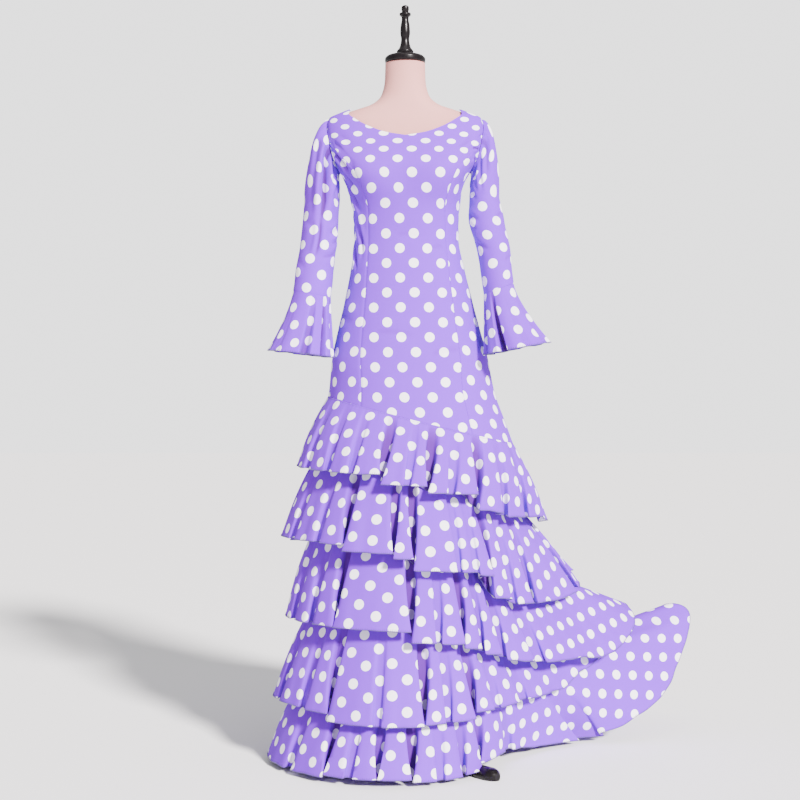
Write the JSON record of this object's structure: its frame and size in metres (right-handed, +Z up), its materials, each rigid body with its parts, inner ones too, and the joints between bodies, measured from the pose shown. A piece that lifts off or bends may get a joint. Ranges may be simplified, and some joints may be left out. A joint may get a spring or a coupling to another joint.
{
  "type": "flamenco dress on a dress form",
  "caption": "Long-sleeved polka dot flamenco dress with flounces, cuff frills and a train, worn by a limbless dress form on a wooden tripod stand.",
  "frame": {"origin": "on the floor under the middle of the whole model's box", "axes": "+Z up, the dress's front faces -Y, +X to the right as seen from the front, where the train goes"},
  "size_m": [1.0266, 0.7856, 1.7476],
  "materials": {
    "dress_crepe": "matt lavender crepe with white polka dots",
    "form_jersey": "pale pink jersey stretched over padding",
    "stand_wood": "black gloss lacquer"
  },
  "bodies": {
    "root": {"centre_front": "dress_crepe", "side_front_left": "dress_crepe", "side_front_right": "dress_crepe", "side_back_left": "dress_crepe", "side_back_right": "dress_crepe", "centre_back_left": "dress_crepe", "centre_back_right": "dress_crepe", "sleeve_left": "dress_crepe", "sleeve_right": "dress_crepe", "cuff_flounce_left": "dress_crepe", "cuff_flounce_right": "dress_crepe", "skirt_base": "dress_crepe", "flounce_1": "dress_crepe", "flounce_2": "dress_crepe", "flounce_3": "dress_crepe", "flounce_4": "dress_crepe", "flounce_5": "dress_crepe", "form_torso": "form_jersey", "neck_cap": "stand_wood", "finial": "stand_wood", "stand_post": "stand_wood", "stand_hub": "stand_wood", "stand_leg_1": "stand_wood", "stand_leg_2": "stand_wood", "stand_leg_3": "stand_wood"}
  },
  "joints": []
}
